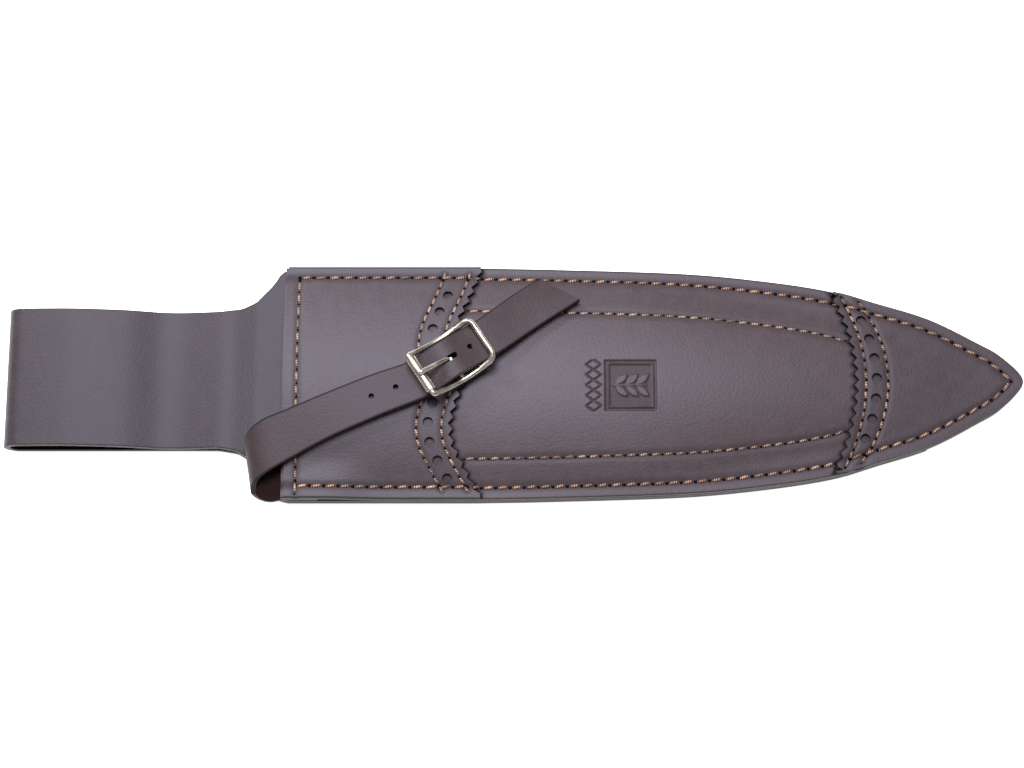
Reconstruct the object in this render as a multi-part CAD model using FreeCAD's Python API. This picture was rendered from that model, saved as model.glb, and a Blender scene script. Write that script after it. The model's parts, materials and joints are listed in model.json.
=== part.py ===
import FreeCAD, Part
import math
import os

# Leather belt sheath of a hori hori garden knife, lying on its back.
# Frame: millimetres, +X from the mouth to the toe, +Y across, +Z out of the front face.
# The origin is on the resting plane, under the middle of the mouth edge.

V = FreeCAD.Vector
os.makedirs("parts", exist_ok=True)

# Driving dimensions
body_length = 229.0
mouth_width = 74.0
hanger_length = 86.0
hanger_width = 43.5
hanger_shift = 1.3
backing_thickness = 2.0
front_thickness = 2.0
overlay_thickness = 1.5
pocket_gap = 5.2
pole_pitch_along = 10.3
pole_pitch_across = 3.9
ply_gap = 0.1
glue_line = 0.05
loop_gap = 5.0
neck_gap = 1.6
tail_setback = 20.0
seam_inset = 3.6
border_inset_upper = 14.8
border_inset_lower = 12.3
overlay_setback = 0.9
tooth_pitch = 3.6
tooth_depth = 1.4
brogue_hole = 3.2
mouth_brogue_pitch = 6.1
mouth_brogue_start_upper = 10.5
mouth_brogue_start_lower = 6.9
toe_brogue_pitch = 6.5
left_row_offset = 3.6
right_row_offset = 4.2
pinked_offset = 6.8
toe_holes_back = 45.6
toe_holes_radius = 46.9
toe_left_back = 48.9
toe_left_radius = 58.5
toe_right_back = 42.0
toe_right_radius = 43.6
toe_pinked_back = 51.8
toe_pinked_radius = 61.1
tail_corner = 9.0
strap_width = 12.4
strap_thickness = 1.6
strap_root_depth = 11.0
strap_hole = 1.8
buckle_x = 51.9
buckle_y = 4.8
buckle_angle = 33.5
buckle_lift = 0.45
bar_spacing = 11.2
frame_bow = 3.6
left_corner = 1.0
right_corner = 2.4
wire = 1.6
roller_diameter = 3.6
prong_radius = 0.6
eye_wall = 0.75
eye_width = 1.7
tab_thickness = 0.8
tab_width = 11.8
tab_length = 17.0
tab_slot = 2.2
thread = 0.9
tab_stitch = 0.6
fine_thread = 0.75
seam_pitch = 4.4
border_pitch = 3.8
band_pitch = 3.1

# Clearances
side_clearance = 0.15
running_clearance = 0.06
free_clearance = 0.1

half_mouth = mouth_width / 2
backing_top = 2 * backing_thickness + ply_gap
root_bump = strap_thickness + 5 * free_clearance

# Distances of the strap's spare holes from the prong's hole, towards the root and towards the tail
ROOT_HOLES = (27.0, 19.0)
TAIL_HOLES = (7.4,)

# Half width of the body as a share of the mouth's, at shares of the length
TAPER = [(0.262, 1.0), (0.37, 0.987), (0.541, 0.951), (0.655, 0.883), (0.742, 0.796), (0.803, 0.683),
         (0.875, 0.539), (0.939, 0.335), (0.973, 0.205)]


# ---- plan outlines and the crowned front ----

def spline(points, **options):
    curve = Part.BSplineCurve()
    curve.interpolate([V(*p) for p in points], **options)
    return curve


def body_curve():
    """The tapering edge, from the upper side round the toe to the lower side."""
    upper = [(x * body_length, y * half_mouth, 0) for x, y in TAPER]
    lower = [(x, -y, 0) for x, y, z in reversed(upper)]
    return spline(upper + [(body_length, 0, 0)] + lower)


def body_outline(start=0.0):
    curve = body_curve()
    first, last = curve.StartPoint, curve.EndPoint
    corners = [last, V(start, -half_mouth, 0), V(start, half_mouth, 0), first]
    return Part.Wire([curve.toShape()] + Part.makePolygon(corners).Edges)


def prism(wire, low=-1.0, high=40.0):
    face = Part.Face(wire)
    face.translate(V(0, 0, low))
    return face.extrude(V(0, 0, high - low))


def gap_shape(x, y):
    """Height of the pocket under the front panel, before it is smoothed."""
    seam = half_mouth - seam_inset
    along = max(0.0, min(1.0, (0.93 * body_length - x) / (0.45 * body_length)))
    narrow = min(1.0, 0.4 + 0.6 * along)
    across = max(0.0, 1 - (y / (seam * narrow)) ** 2)
    height = pocket_gap * math.sin(along * math.pi / 2) * across
    beside_root = max(0.0, min(1.0, (strap_root_depth + 12 - x) / 6))
    if y < strap_width - half_mouth + 3:
        height = max(height, root_bump * beside_root)
    return height


def clamped(count):
    """Knots and pole positions of an even cubic spline from 0 to 1."""
    spans = count - 3
    knots = [i / spans for i in range(spans + 1)]
    counts = [4] + [1] * (spans - 1) + [4]
    full = [k for k, n in zip(knots, counts) for i in range(n)]
    places = [sum(full[i + 1:i + 4]) / 3 for i in range(count)]
    return knots, counts, places


def crowned_surface():
    knots_x, counts_x, along = clamped(3 + round((SHEET_X[1] - SHEET_X[0]) / pole_pitch_along))
    knots_y, counts_y, across = clamped(3 + round((SHEET_Y[1] - SHEET_Y[0]) / pole_pitch_across))
    poles = []
    for a in along:
        x = SHEET_X[0] + a * (SHEET_X[1] - SHEET_X[0])
        row = []
        for b in across:
            y = SHEET_Y[0] + b * (SHEET_Y[1] - SHEET_Y[0])
            row.append(V(x, y, backing_top + glue_line + gap_shape(x, y)))
        poles.append(row)
    surface = Part.BSplineSurface()
    surface.buildFromPolesMultsKnots(poles, counts_x, counts_y, knots_x, knots_y, False, False, 3, 3)
    return surface


SHEET_X = (-4.0, body_length + 4)
SHEET_Y = (-half_mouth - 4, half_mouth + 4)
crown = crowned_surface()


def underside(x, y):
    """Height of the front panel's underside."""
    u = min(1.0, max(0.0, (x - SHEET_X[0]) / (SHEET_X[1] - SHEET_X[0])))
    v = min(1.0, max(0.0, (y - SHEET_Y[0]) / (SHEET_Y[1] - SHEET_Y[0])))
    return crown.value(u, v).z


def front_top(x, y):
    return underside(x, y) + front_thickness


def overlay_top(x, y):
    return front_top(x, y) + glue_line + overlay_thickness


def crowned_sheet(lift, thickness, wire):
    face = crown.toShape()
    face.translate(V(0, 0, lift))
    slab = face.extrude(V(0, 0, thickness))
    return slab.common(prism(wire))


# ---- decorative bands ----

def mouth_band(offset):
    """Two lobes that meet in a cusp; offset shifts the line towards the toe."""
    edge = half_mouth
    upper = [(54.3, edge), (51.0, 0.74 * edge), (47.9, 0.55 * edge), (46.0, 0.39 * edge),
             (45.8, 0.24 * edge), (49.0, -0.02 * edge)]
    lower = [(49.0, -0.02 * edge), (46.4, -0.22 * edge), (45.0, -0.38 * edge), (45.5, -0.54 * edge),
             (47.9, -0.69 * edge), (54.3, -edge)]
    return [spline([(x + offset, y, 0) for x, y in half]) for half in (upper, lower)]


def toe_arc(crest_back, radius):
    """An arc that bulges towards the toe, with its crest at a distance back from the tip."""
    centre = V(body_length - crest_back - radius, 0.5, 0)
    reach = math.asin(min(0.95, half_mouth / radius))
    ends = [V(math.cos(a) * radius, math.sin(a) * radius, 0) for a in (reach, 0, -reach)]
    return [Part.Arc(*[centre + p for p in ends])]


def spaced(curves, pitch):
    """Points at an even pitch along joined curves."""
    points = []
    for curve in curves:
        count = max(2, round(curve.length() / pitch) + 1)
        fresh = curve.discretize(Number=count)
        points += fresh[1:] if points else fresh
    return points


def stepped(curve, start, pitch, backwards):
    """Points at an exact pitch along a curve, from a distance past one end to near the other."""
    length = curve.length()
    points = []
    along = start
    while along < length - pitch / 2:
        distance = length - along if backwards else along
        points.append(curve.value(curve.parameterAtDistance(distance, curve.FirstParameter)))
        along += pitch
    return points


def pinked(curves):
    """A zigzag of teeth along the curves."""
    points = spaced(curves, tooth_pitch / 2)
    return [p + V(tooth_depth / 2 * (1 if i % 2 else -1), 0, 0) for i, p in enumerate(points)]


def zone(line, far_x):
    """The plan area between a zigzag line and a far edge."""
    first, last = line[0], line[-1]
    beyond = mouth_width
    corners = [V(far_x, -beyond, 0), V(far_x, beyond, 0), V(first.x, beyond, 0)] + line
    corners += [V(last.x, -beyond, 0), V(far_x, -beyond, 0)]
    return Part.makePolygon(corners)


def mouth_pinked():
    return pinked(mouth_band(pinked_offset))


def toe_pinked():
    return pinked(toe_arc(toe_pinked_back, toe_pinked_radius))


def punches(points):
    """Punches for the decorative holes, all inside the seam."""
    room = seam_inset + thread / 2 + brogue_hole / 2
    kept = [p for p in points if abs(p.y) < half_width(p.x) - room]
    return Part.makeCompound([Part.makeCylinder(brogue_hole / 2, 40, V(p.x, p.y, 0)) for p in kept])


def mouth_brogues():
    upper, lower = mouth_band(0)
    points = stepped(upper, mouth_brogue_start_upper, mouth_brogue_pitch, False)
    return punches(points + stepped(lower, mouth_brogue_start_lower, mouth_brogue_pitch, True))


def toe_brogues():
    """An odd number of holes about the arc's crest."""
    arc = toe_arc(toe_holes_back, toe_holes_radius)[0]
    middle = arc.length() / 2
    count = int(middle / toe_brogue_pitch)
    start = middle - count * toe_brogue_pitch
    return punches(stepped(arc, start, toe_brogue_pitch, False))


edge_curve = body_curve()


def half_width(x):
    if x <= edge_curve.StartPoint.x:
        return half_mouth
    if x >= body_length:
        return 0.0
    hits = edge_curve.intersectCC(Part.LineSegment(V(x, 0, 0), V(x, mouth_width, 0)))
    return max(h.Y for h in hits) if hits else 0.0


# ---- leather pieces ----

def front_panel():
    return crowned_sheet(0, front_thickness, body_outline())


def mouth_overlay():
    sheet = crowned_sheet(front_thickness + glue_line, overlay_thickness, body_outline(overlay_setback))
    sheet = sheet.common(prism(zone(mouth_pinked(), -5.0)))
    return sheet.cut(mouth_brogues())


def toe_cap():
    sheet = crowned_sheet(front_thickness + glue_line, overlay_thickness, body_outline())
    sheet = sheet.common(prism(zone(toe_pinked(), body_length + 5)))
    return sheet.cut(toe_brogues())


def hanger_outline():
    """Body, concave shoulders and belt loop, in one plan outline."""
    low, high = hanger_shift - hanger_width / 2, hanger_shift + hanger_width / 2
    end = -hanger_length - 5

    def shoulder(side, start):
        rise = half_mouth - abs(start)
        steps = [(-20, 0), (-14, 0.06), (-9.4, 0.24), (-4.1, 0.64), (-1.4, 0.95), (1.5, 1.0)]
        return spline([(x, side * (abs(start) + rise * s), 0) for x, s in steps])

    upper = shoulder(1, high)
    lower = shoulder(-1, low)
    tip = body_curve()
    loop = Part.makePolygon([lower.StartPoint, V(end, low, 0), V(end, high, 0), upper.StartPoint])
    sides = [Part.LineSegment(upper.EndPoint, tip.StartPoint).toShape()]
    sides.append(Part.LineSegment(tip.EndPoint, lower.EndPoint).toShape())
    edges = loop.Edges + [upper.toShape(), sides[0], tip.toShape(), sides[1], lower.toShape()]
    return Part.Wire(Part.__sortEdges__(edges))


def folded_backing():
    """Pocket back, belt loop and return ply, folded from one strip."""
    t = backing_thickness
    middle = 1.5 * t + ply_gap
    lift = middle + loop_gap
    fold_radius = (lift - t / 2) / 2
    fold_x = fold_radius + t / 2 - hanger_length
    fold_z = t / 2 + fold_radius
    path = spline([(fold_x, 0, lift), (fold_x + 8, 0, lift + 0.35), (-64, 0, lift + 0.2),
                   (-50, 0, middle + 0.68 * loop_gap), (-39, 0, middle + 0.1 * loop_gap), (-32, 0, middle),
                   (-25, 0, middle + 0.5 * neck_gap), (-18, 0, middle + neck_gap),
                   (-11, 0, middle + 0.3 * neck_gap), (-7, 0, middle)],
                  InitialTangent=V(1, 0, 0), FinalTangent=V(1, 0, 0))
    outer, inner = [], []
    count = 30
    for i in range(count + 1):
        u = path.FirstParameter + (path.LastParameter - path.FirstParameter) * i / count
        p = path.value(u)
        d = path.tangent(u)[0]
        n = V(-d.z, 0, d.x)
        outer.append(p + n * t / 2)
        inner.append(p - n * t / 2)
    top_curve = spline(outer)
    under_curve = spline(inner)
    top_bend = Part.Arc(outer[0], V(-hanger_length, 0, fold_z), V(fold_x, 0, 0))
    under_bend = Part.Arc(inner[0], V(t - hanger_length, 0, fold_z), V(fold_x, 0, t))
    tail_x = body_length - tail_setback
    end_x = body_length + 5
    edges = [top_curve.toShape(), top_bend.toShape(), under_bend.toShape(), under_curve.toShape()]
    edges += Part.makePolygon([V(fold_x, 0, 0), V(tail_x, 0, 0), V(tail_x, 0, t), V(fold_x, 0, t)]).Edges
    edges += Part.makePolygon([inner[-1], V(end_x, 0, inner[-1].z), V(end_x, 0, outer[-1].z), outer[-1]]).Edges
    section = Part.Face(Part.Wire(Part.__sortEdges__(edges)))
    section.translate(V(0, -mouth_width, 0))
    strip = section.extrude(V(0, 2 * mouth_width, 0))
    strip = strip.common(prism(hanger_outline(), -1, 2 * lift))
    corner = tail_corner
    reach = half_width(tail_x) + 1
    rounding = Part.makeBox(corner, 2 * reach, t + ply_gap / 2, V(tail_x - corner, -reach, -ply_gap / 2))
    keep = Part.makeBox(corner, 2 * (reach - corner), t + ply_gap, V(tail_x - corner, corner - reach, -ply_gap))
    rounding = rounding.cut(keep)
    for side in (-1, 1):
        centre = V(tail_x - corner, side * (reach - corner), -ply_gap)
        rounding = rounding.cut(Part.makeCylinder(corner, t + ply_gap, centre))
    return strip.cut(rounding)


# ---- threads ----

def stitches(points, top, radius, share=0.78):
    """One short run of thread for each pair of points, lying in the leather's surface."""
    runs = []
    for a, b in zip(points, points[1:]):
        step = (b - a) * ((1 - share) / 2)
        start, end = a + step, b - step
        start.z, end.z = top(start.x, start.y), top(end.x, end.y)
        runs.append(Part.makeCylinder(radius, start.distanceToPoint(end), start, end - start))
    return runs


def inset_line(inset, x_from, x_to, sides):
    """A line at an inset inside the body's edge."""
    curve = body_curve()
    points = []
    first, last = curve.StartPoint, curve.EndPoint
    if 1 in sides:
        points += [V(x, half_mouth - inset, 0) for x in (x_from, (x_from + first.x) / 2)]
    count = 60
    for i in range(count + 1):
        u = curve.FirstParameter + (curve.LastParameter - curve.FirstParameter) * i / count
        p = curve.value(u)
        d = curve.tangent(u)[0]
        q = p + V(d.y, -d.x, 0) * inset
        side = 1 if i < count / 2 else -1
        if side in sides and q.x <= x_to:
            points.append(q)
    if -1 in sides:
        points += [V(x, inset - half_mouth, 0) for x in ((x_from + last.x) / 2, x_from)]
    return spline([(p.x, p.y, 0) for p in points])


def band_x(curves, y):
    points = spaced(curves, 1.0)
    return min(points, key=lambda p: abs(p.y - y)).x


def top_at(x, y):
    """Height of whatever leather is uppermost."""
    under_overlay = x < band_x(mouth_band(pinked_offset), y)
    under_cap = x > band_x(toe_arc(toe_pinked_back, toe_pinked_radius), y)
    return overlay_top(x, y) if under_overlay or under_cap else front_top(x, y)


def inside_seam(points, margin):
    return [p for p in points if abs(p.y) < half_width(p.x) - margin]


def seam_thread():
    """The seam round the body: runs in the front's surface and in the back's."""
    start = seam_inset + overlay_setback
    line = inset_line(seam_inset, start, body_length, (1, -1))
    points = spaced([line], seam_pitch)
    front = stitches(points, top_at, thread / 2)
    tail_x = body_length - tail_setback - seam_inset

    def rear(x, y):
        return thread / 2

    near = [p for p in points if p.x < tail_x]
    half = len(near) // 2
    return front + stitches(near[:half], rear, thread / 2) + stitches(near[half:], rear, thread / 2)


def mouth_thread():
    x = seam_inset + overlay_setback
    reach = half_mouth - seam_inset
    line = Part.LineSegment(V(x, reach - thread, 0), V(x, thread - half_mouth, 0))
    return stitches(spaced([line], seam_pitch), overlay_top, fine_thread / 2)


def band_thread(curves):
    points = inside_seam(spaced(curves, band_pitch), 1.0)
    return stitches(points, overlay_top, fine_thread / 2)


def border_thread(inset, side):
    """A row of stitches between the overlays."""
    y = side * (half_mouth - inset)
    x_from = band_x(mouth_band(pinked_offset), y) + tooth_depth
    x_to = band_x(toe_arc(toe_pinked_back, toe_pinked_radius), 0.6 * y) - tooth_depth
    points = spaced([inset_line(inset, x_from, x_to, (side,))], border_pitch)
    return stitches(points, front_top, fine_thread / 2)


# ---- buckle, in its own frame: +X along the strap to its tail, +Z out of the sheath ----

bar_z = tab_thickness + free_clearance + wire / 2
end_z = bar_z + frame_bow
over_bar = bar_z + wire / 2
side_y = strap_width / 2 + side_clearance + wire / 2


def rise_of_tab():
    a = math.radians(buckle_angle)
    end = front_top(buckle_x + tab_length * math.cos(a), buckle_y + (tab_length - tab_width / 2) * math.sin(a))
    return end + 0.6


base_z = overlay_top(buckle_x, buckle_y) + buckle_lift
pitch = math.degrees(math.atan2(base_z - rise_of_tab(), tab_length))
turn = FreeCAD.Rotation(V(0, 0, 1), buckle_angle).multiply(FreeCAD.Rotation(V(0, 1, 0), pitch))
seat = FreeCAD.Placement(V(buckle_x, buckle_y, base_z), turn)


def placed(shape):
    moved = shape.copy()
    moved.Placement = seat.multiply(moved.Placement)
    return moved


def round_bar(start, end, radius):
    return Part.makeCylinder(radius, (end - start).Length, start, end - start)


def wire_bend(start, direction, centre, axis, angle):
    """A bend of the frame's wire: a disc at start, turned about an axis."""
    disc = Part.Face(Part.Wire(Part.makeCircle(wire / 2, start, direction)))
    return disc.revolve(centre, axis, angle)


def buckle_side(corner, end, side):
    """Half of one side rail: a corner and an arc down to the middle bar."""
    slope = 2 * math.atan2(end_z - bar_z, bar_spacing + corner)
    along = V(-end * math.cos(slope), 0, -math.sin(slope))
    start = V(end * bar_spacing, side * (side_y - corner), end_z)
    centre = start + along * corner
    out = V(0, side, 0)
    bend = wire_bend(start, out, centre, out.cross(along), 90)
    from_corner = centre + out * corner
    run = abs(from_corner.x)
    radius = run / math.sin(slope)
    arc_centre = from_corner + V(-end * math.sin(slope), 0, math.cos(slope)) * radius
    turning = V(0, -1, 0) * (-end)
    rail = wire_bend(from_corner, along, arc_centre, turning, math.degrees(slope))
    return bend.fuse(rail)


def buckle_frame():
    parts = []
    for end, corner in ((-1, left_corner), (1, right_corner)):
        reach = side_y - corner
        x = end * bar_spacing
        parts.append(round_bar(V(x, -reach, end_z), V(x, reach, end_z), wire / 2))
        for side in (-1, 1):
            parts.append(buckle_side(corner, end, side))
    return parts[0].multiFuse(parts[1:]).removeSplitter()


def centre_bar(frame):
    bar = round_bar(V(0, -side_y, bar_z), V(0, side_y, bar_z), wire / 2)
    return bar.cut(frame)


def roller():
    length = 2 * (side_y - left_corner) - 2 * side_clearance
    low = V(-bar_spacing, -length / 2, end_z)
    tube = Part.makeCylinder(roller_diameter / 2, length, low, V(0, 1, 0))
    bore = Part.makeCylinder(wire / 2 + running_clearance, length, low, V(0, 1, 0))
    return tube.cut(bore)


def prong():
    """An eye round the middle bar and a tongue up through the strap to the roller."""
    z = bar_z
    width = eye_width
    eye = Part.makeCylinder(wire / 2 + eye_wall, width, V(0, -width / 2, z), V(0, 1, 0))
    bore = Part.makeCylinder(wire / 2 + running_clearance, width + 2, V(0, -width / 2 - 1, z), V(0, 1, 0))
    stem_x = -wire / 2 - 0.45
    stem_top = V(stem_x, 0, over_bar + strap_thickness + 1.2)
    tip = V(-bar_spacing - 0.6, 0, end_z + roller_diameter / 2 + prong_radius + 3 * free_clearance)
    knee = Part.makeSphere(prong_radius, stem_top)
    stem = round_bar(V(stem_x, 0, z), stem_top, prong_radius)
    tongue = round_bar(stem_top, tip, prong_radius)
    nose = Part.makeSphere(prong_radius, tip)
    return eye.multiFuse([stem, knee, tongue, nose]).cut(bore).removeSplitter()


def slot(x_from, x_to, width):
    """A slot through strap or tab for the prong, with round ends."""
    cutter = Part.makeBox(x_to - x_from, width, 20, V(x_from, -width / 2, -5))
    ends = [Part.makeCylinder(width / 2, 20, V(x, 0, -5)) for x in (x_from, x_to)]
    return cutter.multiFuse(ends)


def buckle_tab():
    """A strip folded round the middle bar, with both plies to the right."""
    z = bar_z
    t = tab_thickness
    inner = wire / 2 + free_clearance
    outer = inner + t
    upper = t + 0.05
    meet = 5.0
    bottom = z - outer
    edges = Part.makePolygon([V(0, 0, bottom), V(tab_length, 0, bottom), V(tab_length, 0, bottom + t),
                              V(0, 0, bottom + t)]).Edges
    edges.append(Part.Arc(V(0, 0, bottom + t), V(-inner, 0, z), V(0, 0, z + inner)).toShape())
    edges += Part.makePolygon([V(0, 0, z + inner), V(meet, 0, bottom + upper), V(tab_length, 0, bottom + upper),
                               V(tab_length, 0, bottom + upper + t), V(meet, 0, bottom + upper + t),
                               V(0, 0, z + outer)]).Edges
    edges.append(Part.Arc(V(0, 0, z + outer), V(-outer, 0, z), V(0, 0, bottom)).toShape())
    section = Part.Face(Part.Wire(Part.__sortEdges__(edges)))
    section.translate(V(0, -tab_width / 2, 0))
    return section.extrude(V(0, tab_width, 0)).cut(slot(-3.0, 2.2, tab_slot))


def tab_thread():
    """Two rows that sew the tab down."""
    top = bar_z - wire / 2 - free_clearance + tab_thickness + 0.05
    first, last = 7.0, tab_length - 1.5
    runs = []
    for side in (-1, 1):
        y = side * (tab_width / 2 - 2)
        line = Part.LineSegment(V(first, y, 0), V(last, y, 0))
        runs += stitches(spaced([line], band_pitch), lambda x, w: top, tab_stitch / 2)
    return runs


# ---- strap ----

def at_buckle(x, y, z):
    return seat.multVec(V(x, y, z))


def over_tab(point):
    """Height of the strap's middle where it would lie on the tab, were the tab long enough."""
    top = bar_z - wire / 2 - free_clearance + tab_thickness + 0.05 + strap_thickness / 2 + free_clearance
    flat = at_buckle(0, 0, top)
    up = at_buckle(0, 0, top + 1) - flat
    return flat.z - ((point.x - flat.x) * up.x + (point.y - flat.y) * up.y) / up.z


def strap_stations():
    """Far and near edge points of the strap's middle surface, from its root to its tail."""
    near_root = -half_mouth - 1.0
    far_root = near_root + strap_width
    root_z = backing_top + root_bump / 2
    lip = overlay_top(overlay_setback, 0)
    over = strap_thickness / 2 + 0.4
    stations = [
        (V(strap_root_depth, far_root, root_z), V(strap_root_depth, near_root, root_z)),
        (V(5.5, far_root, root_z), V(5.5, near_root, root_z)),
        (V(0, far_root, root_z), V(0, near_root, root_z)),
        (V(-5.0, far_root + 0.4, root_z + 0.9), V(-3.6, near_root + 0.1, root_z + 0.3)),
        (V(-9.4, far_root + 2.4, root_z + 2.2), V(-7.4, near_root + 1.2, root_z + 1.2)),
        (V(-10.9, far_root + 5.6, lip - 4.2), V(-8.7, near_root + 3.2, lip - 5.4)),
        (V(-9.6, far_root + 8.9, lip - 0.8), V(-7.4, near_root + 6.3, lip - 2.4)),
        (V(-5.6, far_root + 12.2, lip + 0.8), V(-3.4, near_root + 8.8, lip - 0.9)),
    ]
    # Shares of the way to the buckle in x, and back from it in y, then half the strap's skew in widths
    crossing = [(0.054, 0.615, -0.177, 0.540), (0.227, 0.4945, -0.194, 0.492), (0.412, 0.3825, -0.194, 0.484),
                (0.615, 0.265, -0.202, 0.476)]
    corner_y = near_root + strap_width / 2
    for along, back, skew_x, skew_y in crossing:
        mid = V(along * buckle_x, buckle_y + back * (corner_y - buckle_y), 0)
        half = V(skew_x, skew_y, 0) * strap_width
        far, near = mid + half, mid - half
        far.z = overlay_top(far.x, far.y) + over + 0.3
        near.z = overlay_top(near.x, near.y) + over + 0.9
        stations.append((far, near))
    half = strap_width / 2
    middle = strap_thickness / 2
    under_roller = end_z - roller_diameter / 2 - middle - 1.8
    under_wire = end_z - wire / 2 - middle - 0.9
    through = [(-bar_spacing, under_roller), (-6.5, over_bar + middle - 0.4), (-2.5, over_bar + middle + 1.1),
               (0.8, over_bar + middle + 1.3), (5.0, over_bar + middle + 0.3), (bar_spacing - 1, under_wire),
               (bar_spacing + 3.8, under_wire)]
    for x, z in through:
        stations.append((at_buckle(x, half, z), at_buckle(x, -half, z)))
    # Tail: place past the buckle, half skew in widths, and how far the far edge curls up
    tail = [(21.4, 15.35, -0.298, 0.423, 2.4), (27.85, 20.0, -0.391, 0.371, 2.0),
            (33.85, 23.9, -0.496, 0.282, 1.4)]
    for x, y, skew_x, skew_y, curl in tail:
        mid = V(buckle_x + x, buckle_y + y, 0)
        half = V(skew_x, skew_y, 0) * strap_width
        far, near = mid + half, mid - half
        far.z = front_top(far.x, far.y) + over + curl
        near.z = front_top(near.x, near.y) + over + 0.9
        stations.append((far, near))
    for point in stations[-len(tail)]:
        point.z = max(point.z, over_tab(point))
    return stations


def softened(stations):
    """Cuts each corner of both edge lines at a quarter and three quarters of its runs."""
    result = [stations[0]]
    for (f1, n1), (f2, n2) in zip(stations, stations[1:]):
        result += [(f1 + (f2 - f1) * s, n1 + (n2 - n1) * s) for s in (0.25, 0.75)]
    return result + [stations[-1]]


def hole_tools(stations):
    """Round punches square to the strap, at distances along it from the prong's hole."""
    middles = [(far + near) * 0.5 for far, near in stations]
    home = at_buckle(-0.6, 0, over_bar + strap_thickness)
    start = min(range(len(middles)), key=lambda i: middles[i].distanceToPoint(home))
    tools = []
    for distances, step in ((ROOT_HOLES, -1), (TAIL_HOLES, 1)):
        for distance in distances:
            i, left = start, distance
            while left > middles[i].distanceToPoint(middles[i + step]):
                left -= middles[i].distanceToPoint(middles[i + step])
                i += step
            travel = middles[i + step] - middles[i]
            travel.normalize()
            square = travel.cross(stations[i][1] - stations[i][0])
            square.normalize()
            centre = middles[i] + travel * left
            tools.append(Part.makeCylinder(strap_hole / 2, 6, centre - square * 3, square))
    return tools


def retention_strap():
    stations = softened(softened(strap_stations()))
    sections = []
    for i, (far, near) in enumerate(stations):
        before = stations[max(i - 1, 0)]
        after = stations[min(i + 1, len(stations) - 1)]
        travel = (after[0] + after[1]) - (before[0] + before[1])
        normal = (near - far).cross(travel)
        normal.normalize()
        lift = normal * (strap_thickness / 2)
        corners = [far + lift, near + lift, near - lift, far - lift]
        sections.append(Part.makePolygon(corners + corners[:1]))
    body = Part.makeLoft(sections, True, True)
    cutters = [placed(slot(-2.3, 1.1, strap_hole))] + hole_tools(stations)
    return body.cut(Part.makeCompound(cutters))


# ---- build ----

def save(name, shape):
    solids = shape if isinstance(shape, list) else [shape]
    whole = Part.makeCompound(solids) if len(solids) > 1 else solids[0]
    whole.exportStep("parts/" + name + ".step")


frame = buckle_frame()
save("front_panel", front_panel())
save("mouth_overlay", mouth_overlay())
save("toe_cap", toe_cap())
save("folded_backing", folded_backing())
save("seam_thread", seam_thread())
save("mouth_thread", mouth_thread())
save("mouth_band_thread_left", band_thread(mouth_band(-left_row_offset)))
save("mouth_band_thread_right", band_thread(mouth_band(right_row_offset)))
save("toe_band_thread_left", band_thread(toe_arc(toe_left_back, toe_left_radius)))
save("toe_band_thread_right", band_thread(toe_arc(toe_right_back, toe_right_radius)))
save("border_thread_upper", border_thread(border_inset_upper, 1))
save("border_thread_lower", border_thread(border_inset_lower, -1))
save("retention_strap", retention_strap())
save("buckle_tab", placed(buckle_tab()))
save("tab_thread", [placed(s) for s in tab_thread()])
save("buckle_frame", placed(frame))
save("centre_bar", placed(centre_bar(frame)))
save("buckle_roller", placed(roller()))
save("buckle_prong", placed(prong()))
axis_point = at_buckle(0, 0, bar_z)
roller_point = at_buckle(-bar_spacing, 0, end_z)
axis = at_buckle(0, 1, 0) - at_buckle(0, 0, 0)
print("middle bar", axis_point, "roller", roller_point, "axis", axis, "pitch", pitch)
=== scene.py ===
import json
import math
import random

import bmesh
import bpy
from mathutils import Matrix, Vector, kdtree


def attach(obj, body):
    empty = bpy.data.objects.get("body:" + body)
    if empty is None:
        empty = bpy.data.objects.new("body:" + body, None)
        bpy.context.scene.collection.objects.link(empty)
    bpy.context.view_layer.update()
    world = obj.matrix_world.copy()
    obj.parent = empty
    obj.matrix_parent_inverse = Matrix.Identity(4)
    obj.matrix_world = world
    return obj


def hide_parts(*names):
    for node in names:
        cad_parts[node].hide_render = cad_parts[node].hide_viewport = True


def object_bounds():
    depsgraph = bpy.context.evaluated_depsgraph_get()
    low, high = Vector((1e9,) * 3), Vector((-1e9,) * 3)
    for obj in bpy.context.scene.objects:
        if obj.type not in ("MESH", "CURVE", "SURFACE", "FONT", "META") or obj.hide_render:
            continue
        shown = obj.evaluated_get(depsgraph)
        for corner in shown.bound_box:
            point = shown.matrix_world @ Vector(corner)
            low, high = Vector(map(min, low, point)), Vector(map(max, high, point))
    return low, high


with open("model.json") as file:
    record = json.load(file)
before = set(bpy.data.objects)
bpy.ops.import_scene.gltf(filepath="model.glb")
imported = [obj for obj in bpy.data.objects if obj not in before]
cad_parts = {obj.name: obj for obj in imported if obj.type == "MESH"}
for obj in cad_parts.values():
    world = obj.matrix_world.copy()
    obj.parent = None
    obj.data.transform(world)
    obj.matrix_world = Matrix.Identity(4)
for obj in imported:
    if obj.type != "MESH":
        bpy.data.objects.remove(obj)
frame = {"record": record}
cad_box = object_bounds()


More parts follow.
